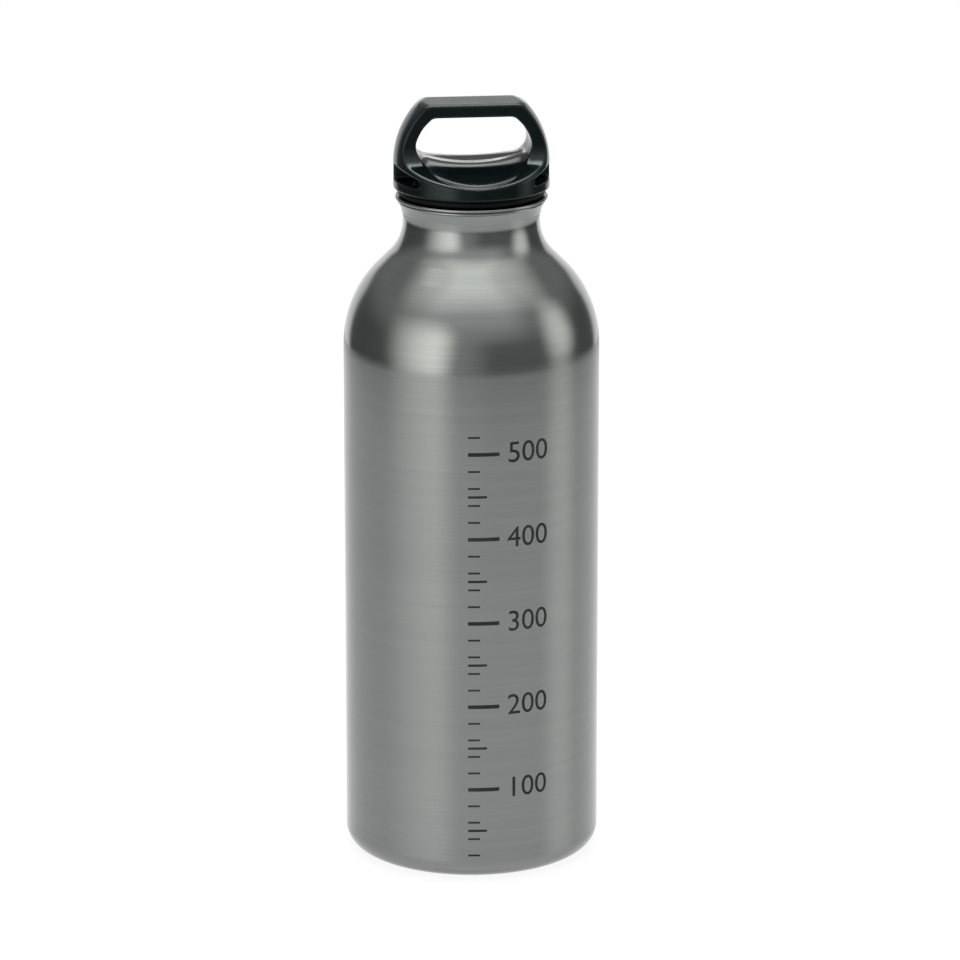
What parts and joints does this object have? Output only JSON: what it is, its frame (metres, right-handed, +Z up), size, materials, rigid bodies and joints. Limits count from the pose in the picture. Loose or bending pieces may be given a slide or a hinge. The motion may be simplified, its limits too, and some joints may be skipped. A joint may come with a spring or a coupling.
{
  "type": "fuel bottle",
  "caption": "Cylindrical aluminium fuel bottle with a domed base, rounded shoulder and collared neck, closed by a black screw cap with a loop handle over a rubber seal.",
  "frame": {"origin": "middle of the base, on the plane the bottle stands on", "axes": "+Z up along the bottle's axis, X along the span of the loop handle, the front faces -Y"},
  "size_m": [0.0734, 0.0734, 0.2216],
  "materials": {
    "shell": "clear-lacquered, with fine turning lines around the axis",
    "seal": "smooth black rubber",
    "cap": "satin to gloss black moulding",
    "stopper": "matt black moulding"
  },
  "bodies": {
    "bottle": {"bottle_body": "shell"},
    "seal": {"mouth_seal_ring": "seal"},
    "cap": {"cap_shell": "cap", "cap_stopper": "stopper"}
  },
  "joints": [
    {"name": "cap_lift", "type": "slide", "parent": "bottle", "child": "seal", "axis": [0, 0, 1], "range_m": [0, 0.012]},
    {"name": "cap_turn", "type": "hinge", "parent": "seal", "child": "cap", "pos_m": [0, 0, 0.1967], "axis": [0, 0, 1], "range_deg": [0, 1080]}
  ],
  "couplings": [
    {"joint": "cap_lift", "follows": "cap_turn", "m_per_rad": 0.0006366}
  ]
}
